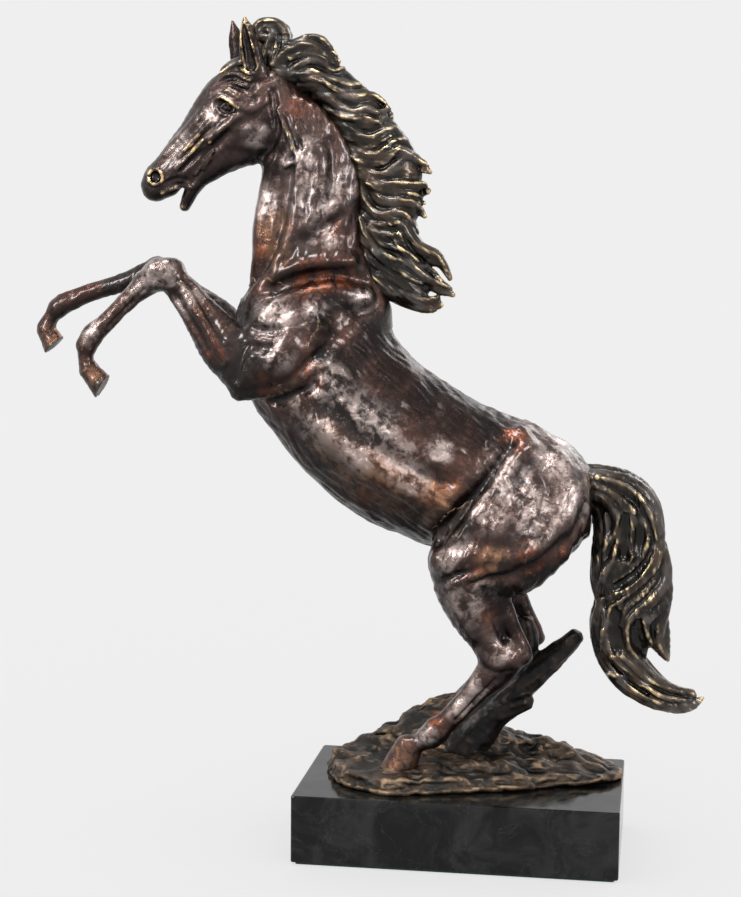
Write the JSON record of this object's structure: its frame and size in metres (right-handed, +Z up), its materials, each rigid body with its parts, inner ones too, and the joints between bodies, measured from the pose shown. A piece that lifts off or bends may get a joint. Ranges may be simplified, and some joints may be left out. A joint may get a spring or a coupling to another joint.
{
  "type": "animal statuette",
  "caption": "Cast bronze rearing horse with windblown mane and long tail, on a rock ground and stump, bolted to a black marble plinth.",
  "frame": {"origin": "centre of the felt pad's underside, on the surface that the statuette stands on", "axes": "+Z up, the horse faces -X, its left side faces -Y"},
  "size_m": [0.4335, 0.12, 0.5166],
  "materials": {
    "horse_bronze": "waxed dark red-brown patina, hand-chased, glossy",
    "hair_bronze": "dark olive-brown patina rubbed back to gold on the ridges",
    "ground_bronze": "dark brown patina, rough, tan on the ridges",
    "marble": "satin black marble with faint grey mottling",
    "steel": "zinc-plated",
    "felt": "dark green felt"
  },
  "bodies": {
    "root": {"torso_casting": "horse_bronze", "neck_head_casting": "horse_bronze", "left_foreleg_casting": "horse_bronze", "right_foreleg_casting": "horse_bronze", "left_hind_leg_casting": "horse_bronze", "right_hind_leg_casting": "horse_bronze", "mane_casting": "hair_bronze", "tail_casting": "hair_bronze", "stump_casting": "ground_bronze", "ground_casting": "ground_bronze", "marble_plinth": "marble", "front_left_stud": "steel", "front_left_washer": "steel", "front_left_nut": "steel", "back_left_stud": "steel", "back_left_washer": "steel", "back_left_nut": "steel", "right_stud": "steel", "right_washer": "steel", "right_nut": "steel", "left_hoof_pin": "steel", "right_hoof_pin": "steel", "felt_pad": "felt"}
  },
  "joints": []
}
